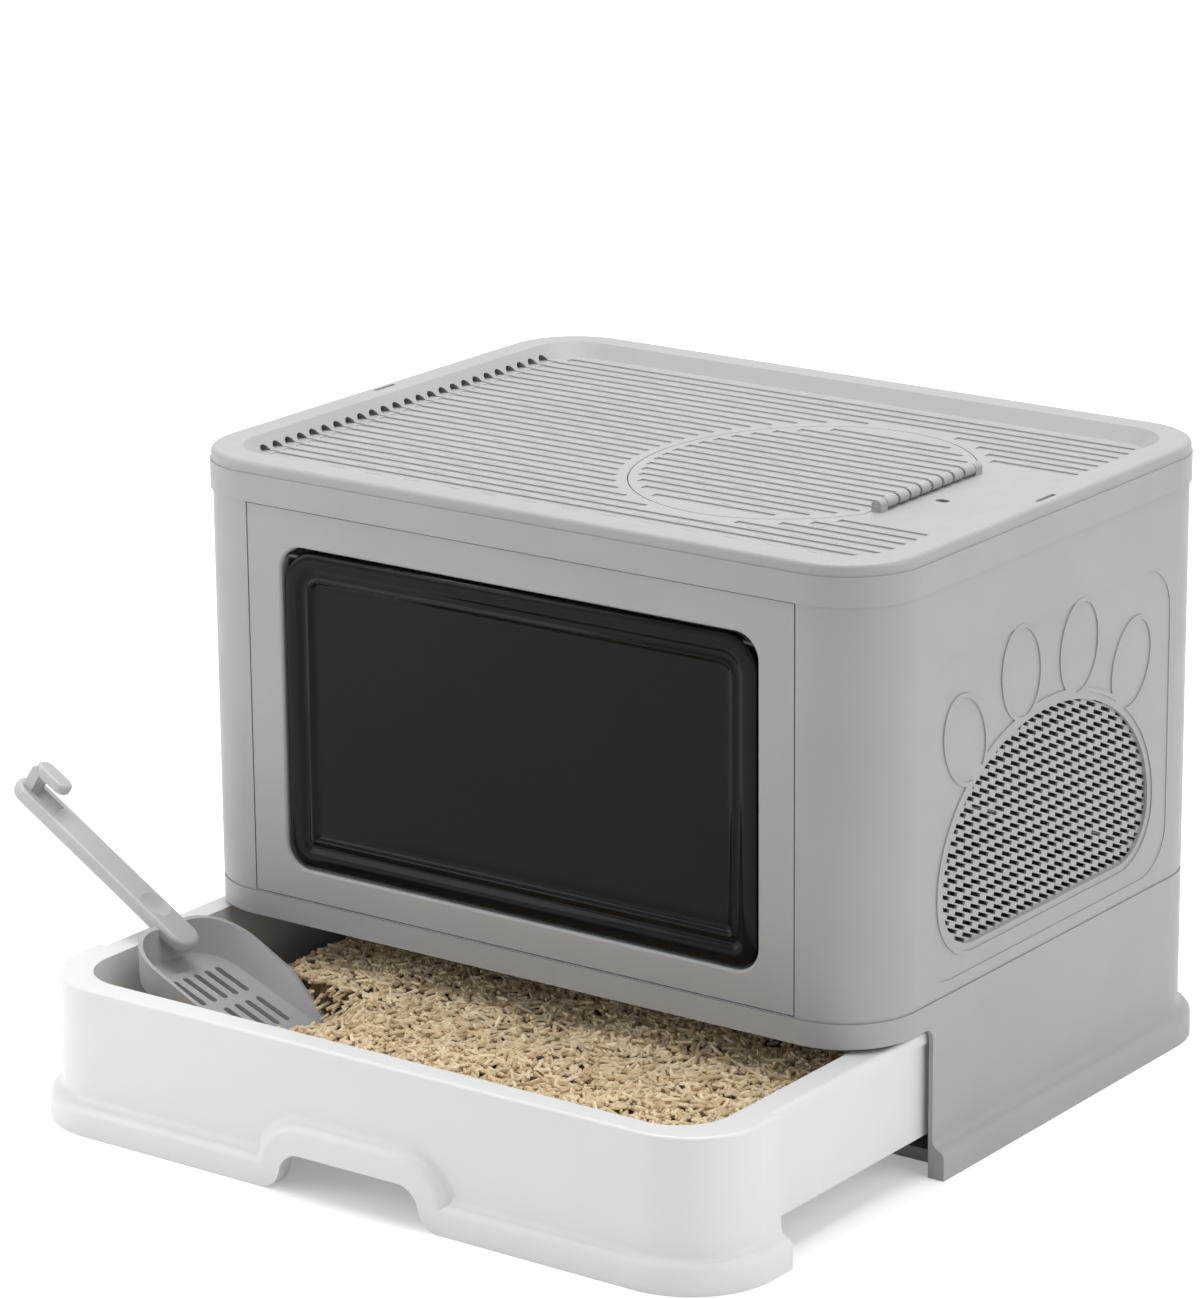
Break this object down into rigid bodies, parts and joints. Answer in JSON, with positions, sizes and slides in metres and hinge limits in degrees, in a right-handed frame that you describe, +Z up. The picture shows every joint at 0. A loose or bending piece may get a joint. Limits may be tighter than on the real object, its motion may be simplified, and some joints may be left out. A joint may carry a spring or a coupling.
{
  "type": "foldable litter box",
  "caption": "Foldable enclosed pet litter box with pull-out tray and scoop, smoked front flap, paw-shaped side vents, grooved lid and hinged top hatch; panels fold into the base.",
  "frame": {"origin": "on the floor under the middle of the base, at the underside of the base's floor pan", "axes": "+X to the viewer's right, +Y from the front to the back, +Z up; the front with the flap and drawer faces -Y"},
  "size_m": [0.5945, 0.559, 0.382],
  "materials": {
    "grey_shell": "moulded polypropylene, fine matt grain",
    "white_shell": "moulded polypropylene, satin",
    "scoop_grey": "moulded polypropylene, satin",
    "smoked_clear": "smoked clear moulding, glossy",
    "steel": "drawn wire",
    "litter": "loose pressed plant-fibre pellets"
  },
  "bodies": {
    "base": {"base_frame": "grey_shell", "front_hinge_pins": "steel", "back_hinge_pins": "steel"},
    "drawer": {"drawer_tray": "white_shell", "litter_fill": "litter"},
    "scoop": {"litter_scoop": "scoop_grey"},
    "front_wall": {"front_panel": "grey_shell", "flap_hinge_rod": "steel"},
    "flap": {"flap_door": "smoked_clear"},
    "back_wall": {"back_panel": "grey_shell"},
    "left_wall": {"left_side_panel": "grey_shell", "left_vent_grille": "grey_shell"},
    "right_wall": {"right_side_panel": "grey_shell", "right_vent_grille": "grey_shell"},
    "lid": {"lid_cover": "grey_shell", "hatch_hinge_rod": "steel"},
    "hatch": {"top_hatch": "grey_shell"}
  },
  "joints": [
    {"name": "drawer_slide", "type": "slide", "parent": "base", "child": "drawer", "axis": [0, -1, 0], "range_m": [-0.156, 0]},
    {"name": "scoop_lift", "type": "slide", "parent": "base", "child": "scoop", "axis": [0, 0, 1], "range_m": [0, 0.5]},
    {"name": "front_fold", "type": "hinge", "parent": "base", "child": "front_wall", "pos_m": [0, -0.186, 0.1155], "axis": [-1, 0, 0], "range_deg": [0, 90]},
    {"name": "flap_swing", "type": "hinge", "parent": "front_wall", "child": "flap", "pos_m": [0, -0.1895, 0.3269], "axis": [-1, 0, 0], "range_deg": [-75, 0]},
    {"name": "back_fold", "type": "hinge", "parent": "base", "child": "back_wall", "pos_m": [0, 0.186, 0.1155], "axis": [1, 0, 0], "range_deg": [0, 87]},
    {"name": "lid_lift", "type": "slide", "parent": "base", "child": "lid", "axis": [0, 0, 1], "range_m": [0, 0.5]},
    {"name": "left_lift", "type": "slide", "parent": "base", "child": "left_wall", "axis": [0, 0, 1], "range_m": [0, 0.25]},
    {"name": "right_lift", "type": "slide", "parent": "base", "child": "right_wall", "axis": [0, 0, 1], "range_m": [0, 0.25]},
    {"name": "hatch_swing", "type": "hinge", "parent": "lid", "child": "hatch", "pos_m": [0.163, 0, 0.3773], "axis": [0, 1, 0], "range_deg": [0, 110]}
  ],
  "couplings": [
    {"joint": "scoop_lift", "follows": "drawer_slide", "ratio": -3.2},
    {"joint": "left_lift", "follows": "lid_lift", "ratio": 0.5},
    {"joint": "right_lift", "follows": "lid_lift", "ratio": 0.5}
  ]
}
